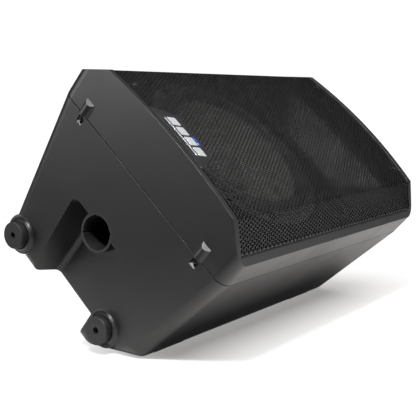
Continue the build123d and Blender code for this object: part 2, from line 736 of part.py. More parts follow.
x, y = inlet_spot
sx, sy = inlet_size
panel = panel - centred(x, y, sx, sy, panel_face - 1, panel_inside, 2.5)
inlet = centred(x, y, sx - 0.2, sy - 0.2, panel_face - 1.5, panel_inside + 22, 2.4)
inlet = inlet + centred(x, y, sx + 6, sy + 6, panel_face - 1.5, panel_face, 4)
cavity_y = y - 9.5
inlet = inlet - centred(x, cavity_y, 17, 24, panel_face - 3, panel_inside + 15, 3)
drawer_y = y + 16.0
drawer_gap = 0.3
inlet = inlet - centred(x, drawer_y, 20, 9, panel_face - 3, panel_inside + 18)
nodes["mains_inlet"] = inlet
nodes["mains_pins"] = apart([
    centred(x + dx, cavity_y + dy, 4.0, 2.0, panel_face + 4.5, panel_inside + 15)
    for dx, dy in ((-2.5, -7.0), (-2.5, 7.0), (3.5, 0.0))
])
drawer = centred(
    x, drawer_y, 20 - 2 * drawer_gap, 9 - 2 * drawer_gap, panel_face - 2.6, panel_inside + 16
)
nodes["fuse_drawer"] = drawer - centred(x, drawer_y, 6, 2.4, panel_face - 3, panel_face - 1.6)

x, y = switch_spot
sx, sy = switch_size
panel = panel - centred(x, y, sx, sy, panel_face - 1, panel_inside)
housing = centred(x, y, sx - 0.2, sy - 0.2, panel_face - 1.5, panel_inside + 18)
housing = housing + centred(x, y, sx + 4, sy + 4, panel_face - 1.5, panel_face, 1.5)
housing = housing - centred(x, y, sx - 4, sy - 4, panel_face - 3, panel_inside + 12)
housing = housing - Pos(x, y, panel_face + 1.0) * Rot(90, 0, 0) * Cylinder(1.35, sy - 1.8)
nodes["switch_housing"] = housing
rocker_half = sx / 2 - 2.6
rocker_points = [
    (-rocker_half, -2.4), (0, -1.4), (rocker_half, -2.4), (rocker_half - 0.6, 4.0), (0, 8.5),
    (-rocker_half + 0.6, 4.0),
]
rocker = lengthwise(rocker_points, sy / 2 - 2.4) + Rot(90, 0, 0) * Cylinder(1.0, sy - 2.6)
rocker_pivot = (x, y, panel_face + 1.0)
nodes["switch_rocker"] = Pos(*rocker_pivot) * Rot(0, rocker_tilt, 0) * rocker

# knobs with their potentiometers
pots = []
for name, (x, y) in knob_spots.items():
    panel = panel - post(x, y, panel_face - 1, panel_inside, 3.6)
    collar = post(x, y, panel_face, panel_inside + 2, 3.5)
    case = soft_block(x - 8, x + 8, y - 8, y + 8, panel_inside + 2, panel_inside + 11, 2)
    bore = post(x, y, panel_face - 1, panel_inside + 4, 2.4)
    pots.append(collar + case - bore)
    knob = post(x, y, panel_face - 0.8 - knob_height, panel_face - 0.8, knob_radius)
    knob = chamfer(knob.edges().sort_by(Axis.Z)[:1], 1.2)
    for kx, ky in around(knob_radius + 0.6, 12, 15):
        knob = knob - post(x + kx, y + ky, panel_face - 12, panel_face, 1.3)
    knob_top = panel_face - 1 - knob_height
    pointer = block(x + 2, x + knob_radius - 1, y - 0.5, y + 0.5, knob_top, knob_top + 0.7)
    shaft = post(x, y, panel_face - 0.8, panel_inside + 3, 2.0)
    nodes[name] = knob - pointer + shaft
nodes["potentiometers"] = apart(pots)

cases = []
for name, (x, y) in button_spots.items():
    clear = button_size + 2 * button_gap
    panel = panel - centred(x, y, clear, clear, panel_face - 1, panel_inside)
    nodes[name] = centred(x, y, button_size, button_size, panel_face - 4.0, panel_inside + 3, 1.0)
    case = centred(x, y, 14, 14, panel_inside, panel_inside + 12, 1.5)
    cases.append(case - centred(x, y, clear, clear, panel_inside - 1, panel_inside + 8))
nodes["button_cases"] = apart(cases)

lamps = []
for x, y in led_spots:
    panel = panel - post(x, y, panel_face - 1, panel_inside, 1.6)
    lamps.append(post(x, y, panel_face - 0.8, panel_inside + 3, 1.5))
nodes["status_lamps"] = apart(lamps)
nodes["amplifier_panel"] = panel

# damping sheet on the far wall
lining = (rear_block(wall + 0.2) - rear_block(wall + 9.0)) & block(96, 345, 60, 140, -165, -66)
nodes["damping_sheet"] = lining

# ---------------------------------------------------------------- place and write
turned = {name: shape.rotate(Axis.X, wedge_angle) for name, shape in nodes.items()}
boxes = [shape.bounding_box() for shape in turned.values()]
low = [min(getattr(box.min, axis) for box in boxes) for axis in "XYZ"]
high = [max(getattr(box.max, axis) for box in boxes) for axis in "XYZ"]
shift = Vector(-(low[0] + high[0]) / 2, -(low[1] + high[1]) / 2, -low[2])
for name, shape in turned.items():
    export_step(shape.translate(shift), f"parts/{name}.step")
print("shift", shift)
print("size", [round(high[axis] - low[axis], 2) for axis in range(3)])
print("nodes", len(turned))
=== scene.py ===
import json
from math import asin, cos, pi, radians, sin, sqrt

import bmesh
import bpy
from mathutils import Matrix, Vector


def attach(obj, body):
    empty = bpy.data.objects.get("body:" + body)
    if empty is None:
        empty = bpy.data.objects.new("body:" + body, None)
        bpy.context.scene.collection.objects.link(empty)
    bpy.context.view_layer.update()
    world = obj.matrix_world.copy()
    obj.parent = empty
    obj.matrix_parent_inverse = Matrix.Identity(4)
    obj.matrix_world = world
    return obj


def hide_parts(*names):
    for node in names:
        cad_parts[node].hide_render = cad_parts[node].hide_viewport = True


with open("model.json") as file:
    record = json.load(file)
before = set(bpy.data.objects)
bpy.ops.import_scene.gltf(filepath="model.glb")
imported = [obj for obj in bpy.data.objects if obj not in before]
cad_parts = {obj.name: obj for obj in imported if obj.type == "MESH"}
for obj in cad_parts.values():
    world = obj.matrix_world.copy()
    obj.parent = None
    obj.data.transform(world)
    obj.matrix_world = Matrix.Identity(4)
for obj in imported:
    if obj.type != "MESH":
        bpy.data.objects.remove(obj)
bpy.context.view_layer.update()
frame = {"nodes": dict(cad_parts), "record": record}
nodes = frame["nodes"]
print("frame loaded with", len(nodes), "nodes")

# The cabinet was drawn standing square, then turned about X and dropped on its wedge face.
cabinet = {
    "wedgeAngle": 42.7,
    "shift": (-203.659, -78.1038, 219.295),
    "length": 401.0,
    "halfWidth": 131.5,
    "endBulge": 10.5,
}
mm = 0.001
cabinetTurn = Matrix.Rotation(radians(cabinet["wedgeAngle"]), 4, "X")
cabinetFrame = Matrix.Translation(Vector(cabinet["shift"]) * mm) @ cabinetTurn


def placed(x, y, z):  # cabinet millimetres to the frame's metres
    return cabinetFrame @ (Vector((x, y, z)) * mm)


# Small helpers for node trees.
def addNode(tree, kind, props=None, **inputs):
    node = tree.nodes.new(kind)
    for name, value in (props or {}).items():
        setattr(node, name, value)
    for key, value in inputs.items():
        numbered = key.startswith("at") and key[2:].isdigit()
        socket = node.inputs[int(key[2:])] if numbered else node.inputs[key.replace("_", " ")]
        if isinstance(value, bpy.types.NodeSocket):
            tree.links.new(value, socket)
        else:
            socket.default_value = value
    return node


def mathNode(tree, operation, first, second=0.0, clamp=False):
    props = {"operation": operation, "use_clamp": clamp}
    return addNode(tree, "ShaderNodeMath", props, at0=first, at1=second).outputs[0]


def mixColour(tree, factor, first, second):
    node = addNode(tree, "ShaderNodeMix", {"data_type": "RGBA"}, at0=factor, at6=first, at7=second)
    return node.outputs[2]


def remap(tree, value, fromLow, fromHigh, toLow, toHigh):
    node = addNode(
        tree, "ShaderNodeMapRange", {"interpolation_type": "SMOOTHSTEP"},
        at0=value, at1=fromLow, at2=fromHigh, at3=toLow, at4=toHigh,
    )
    return node.outputs[0]


def vectorMath(tree, operation, first, second=(0, 0, 0), output=0):
    props = {"operation": operation}
    return addNode(tree, "ShaderNodeVectorMath", props, at0=first, at1=second).outputs[output]


def dotProduct(tree, first, second):
    return vectorMath(tree, "DOT_PRODUCT", first, second, "Value")


def splitVector(tree, vector):
    return addNode(tree, "ShaderNodeSeparateXYZ", Vector=vector).outputs


def mixShader(tree, factor, first, second):
    return addNode(tree, "ShaderNodeMixShader", at0=factor, at1=first, at2=second).outputs[0]


def newGroup(name, inputs, outputs):
    group = bpy.data.node_groups.new(name, "ShaderNodeTree")
    for title, value in inputs.items():
        socket = group.interface.new_socket(title, in_out="INPUT", socket_type="NodeSocketFloat")
        socket.default_value = value
    for title, kind in outputs.items():
        group.interface.new_socket(title, in_out="OUTPUT", socket_type="NodeSocket" + kind)
    given = group.nodes.new("NodeGroupInput").outputs
    result = group.nodes.new("NodeGroupOutput").inputs
    return group, given, result


def objectPoint(tree):
    return addNode(tree, "ShaderNodeTexCoord").outputs["Object"]


def noise(tree, scale, detail=2.0, roughness=0.5, vector=None):
    point = vector or objectPoint(tree)
    return addNode(
        tree, "ShaderNodeTexNoise", Vector=point, Scale=scale, Detail=detail, Roughness=roughness
    ).outputs["Fac"]


# Shared effects, each a node group that puts out masks, heights and normals.
def buildMouldedGrain():  # leather-like pebble of a textured mould, with slow tone drift
    group, given, result = newGroup(
        "mouldedGrain", {"Scale": 1100.0, "Drift": 9.0}, {"Height": "Float", "Tone": "Float"}
    )
    point = objectPoint(group)
    pebble = addNode(
        group, "ShaderNodeTexVoronoi", {"feature": "SMOOTH_F1"},
        Vector=point, Scale=given["Scale"], Smoothness=0.6,
    ).outputs["Distance"]
    fine = noise(group, mathNode(group, "MULTIPLY", given["Scale"], 2.3), 3.0, 0.6, point)
    height = mathNode(group, "ADD", pebble, mathNode(group, "MULTIPLY", fine, 0.5))
    group.links.new(height, result["Height"])
    broad = noise(group, given["Drift"], 4.0, 0.55, point)
    group.links.new(remap(group, broad, 0.3, 0.7, 0.0, 1.0), result["Tone"])
    return group


def buildEdgeWear():  # finds convex edges by comparing a rounded normal with the true one
    group, given, result = newGroup(
        "edgeWear", {"Radius": 0.001, "Breakup": 160.0}, {"Mask": "Float", "Normal": "Vector"}
    )
    bevel = addNode(group, "ShaderNodeBevel", {"samples": 6}, Radius=given["Radius"])
    rounded = bevel.outputs["Normal"]
    flat = addNode(group, "ShaderNodeNewGeometry").outputs["Normal"]
    facing = dotProduct(group, rounded, flat)
    edge = remap(group, facing, 0.985, 0.86, 0.0, 1.0)
    patch = remap(group, noise(group, given["Breakup"], 3.0, 0.6), 0.38, 0.62, 0.15, 1.0)
    group.links.new(mathNode(group, "MULTIPLY", edge, patch, True), result["Mask"])
    group.links.new(rounded, result["Normal"])
    return group


def buildPaintedShadeBehindGrille():  # 1 for what lies under the grille, 0 for the cabinet's outer faces; this is where painted shade darkens the interior
    group, given, result = newGroup(
        "paintedShadeBehindGrille", {"Depth": -0.012, "Side": 0.1215, "Low": 0.0075, "High": 0.397},
        {"Mask": "Float"},
    )
    offset = Vector(cabinet["shift"]) * mm
    local = vectorMath(group, "SUBTRACT", objectPoint(group), offset)
    along, across, depth = [dotProduct(group, local, axis) for axis in cabinetTurn.to_3x3().col]
    under = mathNode(group, "LESS_THAN", depth, given["Depth"])
    between = mathNode(group, "LESS_THAN", mathNode(group, "ABSOLUTE", across), given["Side"])
    afterLow = mathNode(group, "GREATER_THAN", along, given["Low"])
    beforeHigh = mathNode(group, "LESS_THAN", along, given["High"])
    section = mathNode(group, "MULTIPLY", under, between)
    span = mathNode(group, "MULTIPLY", afterLow, beforeHigh)
    group.links.new(mathNode(group, "MULTIPLY", section, span), result["Mask"])
    return group


def buildPaintedShadeHoleWall():  # 1 on faces square to the grille sheet, the walls of its holes, where painted shade darkens them
    group, given, result = newGroup("paintedShadeHoleWall", {"From": 0.62, "To": 0.3}, {"Mask": "Float"})
    normal = addNode(group, "ShaderNodeNewGeometry").outputs["True Normal"]
    facing = mathNode(group, "ABSOLUTE", dotProduct(group, normal, cabinetTurn.to_3x3().col[2]))
    wall = addNode(
        group, "ShaderNodeMapRange",
        at0=facing, at1=given["From"], at2=given["To"], at3=0.0, at4=1.0,
    )
    group.links.new(wall.outputs[0], result["Mask"])
    return group


def buildDustFilm():  # thin dust that settles on what faces up
    group, given, result = newGroup("dustFilm", {"Amount": 0.1, "Scale": 60.0}, {"Mask": "Float"})
    normal = addNode(group, "ShaderNodeNewGeometry").outputs["Normal"]
    upward = splitVector(group, normal)["Z"]
    settle = remap(group, upward, 0.2, 0.95, 0.0, 1.0)
    speck = remap(group, noise(group, given["Scale"], 6.0, 0.7), 0.42, 0.7, 0.2, 1.0)
    mask = mathNode(group, "MULTIPLY", settle, speck)
    group.links.new(mathNode(group, "MULTIPLY", mask, given["Amount"], True), result["Mask"])
    return group


def buildBrushedMetal():  # fine lines along the cabinet, with handling marks
    group, given, result = newGroup(
        "brushedMetal", {"Scale": 900.0, "Stretch": 0.04}, {"Height": "Float", "Tone": "Float"}
    )
    scale = addNode(group, "ShaderNodeCombineXYZ", X=given["Stretch"], Y=1.0, Z=1.0).outputs[0]
    lines = vectorMath(group, "MULTIPLY", objectPoint(group), scale)
    streak = noise(group, given["Scale"], 3.0, 0.6, lines)
    group.links.new(streak, result["Height"])
    marks = noise(group, 45.0, 5.0, 0.65)
    group.links.new(remap(group, marks, 0.35, 0.7, 0.0, 1.0), result["Tone"])
    return group


def buildWovenCloth():  # crossed threads for the spider, dust cap and wadding
    group, given, result = newGroup(
        "wovenCloth", {"Threads": 1300.0}, {"Height": "Float", "Tone": "Float"}
    )
    point = objectPoint(group)
    parts = splitVector(group, point)
    waves = []
    for axis in ("X", "Y"):
        turned = mathNode(group, "MULTIPLY", parts[axis], given["Threads"])
        waves.append(mathNode(group, "ABSOLUTE", mathNode(group, "SINE", turned)))
    weave = mathNode(group, "MAXIMUM", waves[0], waves[1])
    fuzz = mathNode(group, "MULTIPLY", noise(group, 2600.0, 3.0, 0.7, point), 0.4)
    group.links.new(mathNode(group, "ADD", weave, fuzz), result["Height"])
    group.links.new(remap(group, noise(group, 70.0, 4.0), 0.3, 0.7, 0.0, 1.0), result["Tone"])
    return group


groups = {
    "moulded": buildMouldedGrain(),
    "brushed": buildBrushedMetal(),
    "woven": buildWovenCloth(),
    "wear": buildEdgeWear(),
    "dust": buildDustFilm(),
    "paintedShadeBehind": buildPaintedShadeBehindGrille(),
    "paintedShadeHoleWall": buildPaintedShadeHoleWall(),
}
print("shared effects built:", ", ".join(groups))


def groupNode(tree, kind, **inputs):
    return addNode(tree, "ShaderNodeGroup", {"node_tree": groups[kind]}, **inputs).outputs


# Finishes, one entry for each material slot.
dustColour = (0.20, 0.19, 0.175, 1)
dustRough = 0.4
bumpDistance = 0.0002
# painted shade for hollows: colour darkened, reflection cut, surface dulled
paintedShadeLook = {"rough": 0.85, "gloss": 0.5, "glossDrop": 0.4}
finishes = {
    "shell_plastic": {
        "grain": "moulded", "scale": 1250.0, "depth": 0.16, "colour": (0.0095, 0.0095, 0.01),
        "shade": 0.82, "rough": (0.36, 0.44), "wear": 0.2, "wornColour": (0.03, 0.03, 0.031),
        "edge": 0.0008, "dust": 0.02,
    },
    "bezel_plastic": {
        "grain": "moulded", "scale": 1250.0, "depth": 0.15, "colour": (0.01, 0.01, 0.0108),
        "shade": 0.84, "rough": (0.34, 0.42), "wear": 0.3, "wornColour": (0.05, 0.05, 0.052),
        # inside: painted shade, the interior seen through the grille darkened to near black
        "edge": 0.0009, "dust": 0.02, "inside": (0.003, 0.003, 0.003),
    },
    "grille_steel": {
        "grain": "moulded", "scale": 2600.0, "depth": 0.12, "colour": (0.004, 0.004, 0.0043),
        "shade": 0.8, "rough": (0.22, 0.3), "wear": 0.0, "wornColour": (0.1, 0.1, 0.1),
        # inside: painted shade darkening the walls of the grille's holes
        "edge": 0.0, "dust": 0.06, "inside": (0.0015, 0.0015, 0.0015), "insideOf": "paintedShadeHoleWall",
    },
    "badge_black": {
        "grain": "brushed", "scale": 1500.0, "depth": 0.05, "colour": (0.012, 0.012, 0.013),
        "shade": 0.85, "rough": (0.28, 0.36), "wear": 0.3, "wornColour": (0.05, 0.05, 0.05),
        "edge": 0.0004, "dust": 0.03,
    },
    "badge_silver": {
        "grain": "brushed", "scale": 2200.0, "depth": 0.08, "colour": (0.5, 0.51, 0.53),
        "shade": 0.86, "rough": (0.22, 0.32), "metal": 0.4, "wear": 0.3,
        "wornColour": (0.8, 0.8, 0.8), "edge": 0.0003, "dust": 0.04,
    },
    "badge_blue": {
        # the blue badge's glow is painted light; the badge is no lamp
        "grain": "brushed", "scale": 900.0, "depth": 0.03, "colour": (0.015, 0.06, 0.42),
        "shade": 0.7, "rough": (0.16, 0.24), "coat": 0.5, "glow": 0.25, "wear": 0.2,
        "wornColour": (0.1, 0.2, 0.7), "edge": 0.0003, "dust": 0.03,
    },
    "soft_rubber": {
        "grain": "moulded", "scale": 1800.0, "depth": 0.12, "colour": (0.006, 0.006, 0.0075),
        "shade": 0.75, "rough": (0.5, 0.66), "wear": 0.6, "wornColour": (0.04, 0.04, 0.043),
        "edge": 0.0008, "dust": 0.1,
    },
    "black_screw": {
        "grain": "brushed", "scale": 2400.0, "depth": 0.08, "colour": (0.03, 0.03, 0.032),
        "shade": 0.7, "rough": (0.24, 0.36), "metal": 0.9, "wear": 0.9,
        "wornColour": (0.32, 0.32, 0.33), "edge": 0.0004, "dust": 0.05,
    },
    "plain_screw": {
        "grain": "brushed", "scale": 2400.0, "depth": 0.1, "colour": (0.46, 0.46, 0.45),
        "shade": 0.75, "rough": (0.28, 0.4), "metal": 1.0, "wear": 0.5,
        "wornColour": (0.7, 0.7, 0.7), "edge": 0.0003, "dust": 0.05,
    },
    "cone_paper": {
        "grain": "woven", "scale": 900.0, "depth": 0.2, "colour": (0.085, 0.082, 0.077),
        "shade": 0.82, "rough": (0.62, 0.76), "wear": 0.2, "wornColour": (0.2, 0.19, 0.17),
        "edge": 0.0005, "dust": 0.05,
    },
    "cap_fabric": {
        "grain": "woven", "scale": 2600.0, "depth": 0.35, "colour": (0.045, 0.043, 0.041),
        "shade": 0.8, "rough": (0.6, 0.75), "sheen": 0.3, "wear": 0.2,
        "wornColour": (0.1, 0.1, 0.1), "edge": 0.0005, "dust": 0.08,
    },
    "surround_rubber": {
        "grain": "moulded", "scale": 2200.0, "depth": 0.06, "colour": (0.012, 0.012, 0.013),
        "shade": 0.8, "rough": (0.36, 0.5), "wear": 0.1, "wornColour": (0.03, 0.03, 0.03),
        "edge": 0.0005, "dust": 0.05,
    },
    "spider_cloth": {
        "grain": "woven", "scale": 2400.0, "depth": 0.5, "colour": (0.42, 0.24, 0.07),
        "shade": 0.75, "rough": (0.7, 0.85), "wear": 0.1, "wornColour": (0.5, 0.34, 0.14),
        "edge": 0.0004, "dust": 0.05,
    },
    "coil_copper": {
        "grain": "brushed", "scale": 2800.0, "depth": 0.4, "colour": (0.62, 0.24, 0.09),
        "shade": 0.7, "rough": (0.25, 0.4), "metal": 1.0, "wear": 0.3,
        "wornColour": (0.8, 0.45, 0.25), "edge": 0.0003, "dust": 0.02,
    },
    "basket_steel": {
        "grain": "moulded", "scale": 1500.0, "depth": 0.1, "colour": (0.02, 0.02, 0.021),
        "shade": 0.8, "rough": (0.36, 0.5), "wear": 0.7, "wornColour": (0.12, 0.12, 0.12),
        "edge": 0.0006, "dust": 0.08,
    },
    "magnet_ferrite": {
        "grain": "moulded", "scale": 700.0, "depth": 0.3, "colour": (0.03, 0.03, 0.032),
        "shade": 0.7, "rough": (0.5, 0.68), "wear": 0.5, "wornColour": (0.09, 0.09, 0.09),
        "edge": 0.0008, "dust": 0.08,
    },
    "motor_steel": {
        "grain": "brushed", "scale": 1500.0, "depth": 0.12, "colour": (0.5, 0.5, 0.47),
        "shade": 0.75, "rough": (0.28, 0.42), "metal": 1.0, "wear": 0.4,
        "wornColour": (0.7, 0.7, 0.68), "edge": 0.0005, "dust": 0.05,
    },
    "horn_plastic": {
        "grain": "moulded", "scale": 1700.0, "depth": 0.07, "colour": (0.01, 0.01, 0.011),
        "shade": 0.85, "rough": (0.42, 0.52), "wear": 0.45, "wornColour": (0.05, 0.05, 0.052),
        "edge": 0.0007, "dust": 0.04,
    },
    "panel_metal": {
        "grain": "moulded", "scale": 2300.0, "depth": 0.12, "colour": (0.014, 0.014, 0.015),
        "shade": 0.85, "rough": (0.38, 0.5), "wear": 0.6, "wornColour": (0.14, 0.14, 0.14),
        "edge": 0.0004, "dust": 0.05,
    },
    "sink_metal": {
        "grain": "brushed", "scale": 1200.0, "depth": 0.12, "colour": (0.5, 0.51, 0.53),
        "shade": 0.8, "rough": (0.3, 0.42), "metal": 1.0, "wear": 0.3,
        "wornColour": (0.7, 0.7, 0.72), "edge": 0.0004, "dust": 0.05,
    },
    "board_green": {
        "grain": "woven", "scale": 1500.0, "depth": 0.1, "colour": (0.008, 0.09, 0.035),
        "shade": 0.65, "rough": (0.3, 0.42), "coat": 0.4, "wear": 0.3,
        "wornColour": (0.2, 0.2, 0.1), "edge": 0.0004, "dust": 0.06,
    },
    "capacitor_can": {
        "grain": "brushed", "scale": 900.0, "depth": 0.05, "colour": (0.02, 0.025, 0.07),
        "shade": 0.8, "rough": (0.25, 0.36), "wear": 0.5, "wornColour": (0.4, 0.4, 0.45),
        "edge": 0.0006, "dust": 0.05,
    },
    "jack_plastic": {
        "grain": "moulded", "scale": 2600.0, "depth": 0.05, "colour": (0.011, 0.011, 0.012),
        "shade": 0.85, "rough": (0.26, 0.38), "wear": 0.4, "wornColour": (0.05, 0.05, 0.05),
        "edge": 0.0004, "dust": 0.04,
    },
    "contact_metal": {
        "grain": "brushed", "scale": 2500.0, "depth": 0.1, "colour": (0.66, 0.5, 0.24),
        "shade": 0.75, "rough": (0.2, 0.34), "metal": 1.0, "wear": 0.3,
        "wornColour": (0.8, 0.7, 0.45), "edge": 0.0002, "dust": 0.03,
    },
    "knob_plastic": {
        "grain": "moulded", "scale": 2400.0, "depth": 0.1, "colour": (0.018, 0.018, 0.019),
        "shade": 0.85, "rough": (0.36, 0.48), "wear": 0.6, "wornColour": (0.07, 0.07, 0.07),
        "edge": 0.0004, "dust": 0.05,
    },
    "button_plastic": {
        "grain": "moulded", "scale": 2400.0, "depth": 0.06, "colour": (0.3, 0.3, 0.3),
        "shade": 0.85, "rough": (0.32, 0.44), "wear": 0.4, "wornColour": (0.42, 0.42, 0.42),
        "edge": 0.0003, "dust": 0.06,
    },
    "rocker_red": {
        "grain": "moulded", "scale": 2400.0, "depth": 0.04, "colour": (0.33, 0.012, 0.01),
        "shade": 0.8, "rough": (0.2, 0.3), "coat": 0.3, "wear": 0.4,
        "wornColour": (0.5, 0.08, 0.06), "edge": 0.0004, "dust": 0.04,
    },
    "lamp_green": {
        "grain": "brushed", "scale": 1200.0, "depth": 0.02, "colour": (0.05, 0.45, 0.1),
        "shade": 0.8, "rough": (0.12, 0.2), "coat": 0.6, "glow": 0.3, "wear": 0.2,
        "wornColour": (0.3, 0.8, 0.35), "edge": 0.0002, "dust": 0.03,
    },
    "damping_foam": {
        "grain": "woven", "scale": 500.0, "depth": 0.9, "colour": (0.3, 0.29, 0.26),
        "shade": 0.7, "rough": (0.85, 0.95), "sheen": 0.4, "wear": 0.0,
        "wornColour": (0.3, 0.3, 0.3), "edge": 0.0, "dust": 0.03,
    },
}


def buildFinish(name, look):
    material = bpy.data.materials.new(name + "_finish")
    material.use_nodes = True
    tree = material.node_tree
    tree.nodes.clear()
    shader = tree.nodes.new("ShaderNodeBsdfPrincipled")
    output = tree.nodes.new("ShaderNodeOutputMaterial")
    tree.links.new(shader.outputs[0], output.inputs["Surface"])
    if look["grain"] == "moulded":
        grain = groupNode(tree, "moulded", Scale=look["scale"])
    elif look["grain"] == "brushed":
        grain = groupNode(tree, "brushed", Scale=look["scale"])
    else:
        grain = groupNode(tree, "woven", Threads=look["scale"])
    full = (*look["colour"], 1)
    deep = (*[part * look["shade"] for part in look["colour"]], 1)
    colour = mixColour(tree, grain["Tone"], deep, full)
    bump = addNode(
        tree, "ShaderNodeBump",
        Height=grain["Height"], Strength=look["depth"], Distance=bumpDistance,
    )
    if look["edge"] > 0:
        wear = groupNode(tree, "wear", Radius=look["edge"])
        amount = mathNode(tree, "MULTIPLY", wear["Mask"], look["wear"])
        colour = mixColour(tree, amount, colour, (*look["wornColour"], 1))
        tree.links.new(wear["Normal"], bump.inputs["Normal"])
    dust = groupNode(tree, "dust", Amount=look["dust"])["Mask"]
    colour = mixColour(tree, dust, colour, dustColour)
    smooth, coarse = look["rough"]
    rough = remap(tree, grain["Tone"], 0.0, 1.0, coarse, smooth)
    # painted shade: the masked hollows get a near-black colour and weaker, duller reflection
    if "inside" in look:
        paintedShadeMask = groupNode(tree, look.get("insideOf", "paintedShadeBehind"))["Mask"]
        colour = mixColour(tree, paintedShadeMask, colour, (*look["inside"], 1))
        dull = mathNode(tree, "MULTIPLY", paintedShadeMask, paintedShadeLook["rough"])
        rough = mathNode(tree, "MAXIMUM", rough, dull)
        drop = mathNode(tree, "MULTIPLY", paintedShadeMask, paintedShadeLook["glossDrop"])
        gloss = mathNode(tree, "SUBTRACT", paintedShadeLook["gloss"], drop)
        tree.links.new(gloss, shader.inputs["Specular IOR Level"])
    tree.links.new(colour, shader.inputs["Base Color"])
    rough = mathNode(tree, "ADD", rough, mathNode(tree, "MULTIPLY", dust, dustRough), True)
    tree.links.new(rough, shader.inputs["Roughness"])
    tree.links.new(bump.outputs[0], shader.inputs["Normal"])
    shader.inputs["Metallic"].default_value = look.get("metal", 0.0)
    shader.inputs["Coat Weight"].default_value = look.get("coat", 0.0)
    shader.inputs["Sheen Weight"].default_value = look.get("sheen", 0.0)
    # emission: the indicator lamp's own glow, and a painted glow on the blue badge
    if "glow" in look:
        tree.links.new(colour, shader.inputs["Emission Color"])
        shader.inputs["Emission Strength"].default_value = look["glow"]
    return material


materials = {name: buildFinish(name, look) for name, look in finishes.items()}
slotOf = {part["node"]: part["material_slot"] for part in frame["record"]["subparts"]}
for name, piece in nodes.items():
    finish = materials[slotOf[name]]
    if not piece.material_slots:
        piece.data.materials.append(finish)
    for slot in piece.material_slots:
        slot.material = finish
print("finishes built and put on the frame:", len(materials))

# Perforated steel grille: a honeycomb of holes in a bent sheet, in cabinet millimetres.
grille = {
    "pitch": 4.3,
    "hole": 3.3,          # across the flats
    "thick": 0.8,
    "bend": 98.0,          # where the crown meets the slanted facets
    "bendHeight": -1.26,
    "crown": 4.3,
    "facet": (0.7524, -0.6588),
    "facetRun": 34.0,
    "lowEnd": 4.9,
    "highInset": 6.9,
    "margin": 1.3,         # plain border beside the outline
    "screws": ((14.5, 75.0), (388.0, 75.0)),
    "screwClear": 4.4,
    "weld": 0.00002,       # metres
    "sliver": 0.00001,
}


def grilleOutline():
    sag = grille["crown"] - grille["bendHeight"]
    radius = (grille["bend"] ** 2 + sag**2) / (2 * sag)
    arc = radius * asin(grille["bend"] / radius)
    return radius, arc, arc + grille["facetRun"]


crownRadius, crownArc, sheetHalf = grilleOutline()
endRadius = (cabinet["halfWidth"] ** 2 + cabinet["endBulge"] ** 2) / (2 * cabinet["endBulge"])


def sheetSection(s):  # distance across the sheet to its height and place
    side = -1 if s < 0 else 1
    run = abs(s)
    if run <= crownArc:
        turn = run / crownRadius
        y = crownRadius * sin(turn)
        z = grille["crown"] - crownRadius * (1 - cos(turn))
    else:
        y = grille["bend"] + (run - crownArc) * grille["facet"][0]
        z = grille["bendHeight"] + (run - crownArc) * grille["facet"][1]
    return side * y, z


def sheetEnd(y):
    drop = endRadius - sqrt(endRadius**2 - y**2)
    return cabinet["length"] + cabinet["endBulge"] - grille["highInset"] - drop


def nearScrew(x, y):
    clear = grille["screwClear"] ** 2
    return any((x - a) ** 2 + (abs(y) - b) ** 2 < clear for a, b in grille["screws"])


def buildGrille():
    pitch = grille["pitch"]
    column = pitch * sqrt(3) / 2
    reach = grille["hole"] / sqrt(3)
    columns = int(sheetEnd(0) / column) + 3
    rows = int(sheetHalf / pitch) + 2
    mesh = bmesh.new()
    corners = {}
    cells = {}
    for i in range(-1, columns):
        for j in range(-rows, rows + 1):
            x = grille["lowEnd"] + i * column
            s = j * pitch + (pitch / 2 if i % 2 else 0)
            y, z = sheetSection(max(-sheetHalf, min(sheetHalf, s)))
            room = grille["hole"] / 2 + grille["margin"]
            inside = abs(s) < sheetHalf - room and grille["lowEnd"] + room < x < sheetEnd(y) - room
            cells[i, j] = inside and not nearScrew(x, y)
            for k in range(6):
                cx = x + reach * cos(k * pi / 3)
                cs = max(-sheetHalf, min(sheetHalf, s + reach * sin(k * pi / 3)))
                cy, cz = sheetSection(cs)
                cx = max(grille["lowEnd"], min(sheetEnd(cy), cx))
                corners[i, j, k] = mesh.verts.new(placed(cx, cy, cz))

    def addFace(*keys):
        if all(key in corners for key in keys):
            mesh.faces.new([corners[key] for key in keys])

    for (i, j), punched in cells.items():
        up = (i, j + 1)
        right = (i + 1, j + i % 2)
        left = (i - 1, j + i % 2)
        for k, (a, b) in enumerate((right, up, left)):
            addFace((i, j, k), (a, b, (k + 4) % 6), (a, b, k + 3), (i, j, k + 1))
        addFace((i, j, 1), (*right, 3), (*up, 5))
        addFace((i, j, 2), (*up, 4), (*left, 0))
        if not punched:
            addFace(*[(i, j, k) for k in range(6)])
    bmesh.ops.remove_doubles(mesh, verts=mesh.verts, dist=grille["weld"])
    bmesh.ops.dissolve_degenerate(mesh, edges=mesh.edges, dist=grille["sliver"])
    bmesh.ops.recalc_face_normals(mesh, faces=mesh.faces)
    outward = cabinetTurn.to_3x3() @ Vector((0, 0, 1))
    if sum(face.normal.dot(outward) * face.calc_area() for face in mesh.faces) < 0:
        bmesh.ops.reverse_faces(mesh, faces=mesh.faces)
    for face in mesh.faces:
        face.smooth = True
    data = bpy.data.meshes.new("perforated_grille")
    mesh.to_mesh(data)
    mesh.free()
    piece = bpy.data.objects.new("perforated_grille", data)
    bpy.context.collection.objects.link(piece)
    solid = piece.modifiers.new("thickness", "SOLIDIFY")
    solid.thickness = grille["thick"] * mm
    solid.offset = -1
    data.materials.append(materials["grille_steel"])
    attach(piece, "cabinet")
    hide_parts("grille")
    return sum(cells.values())


print("grille built with", buildGrille(), "holes")

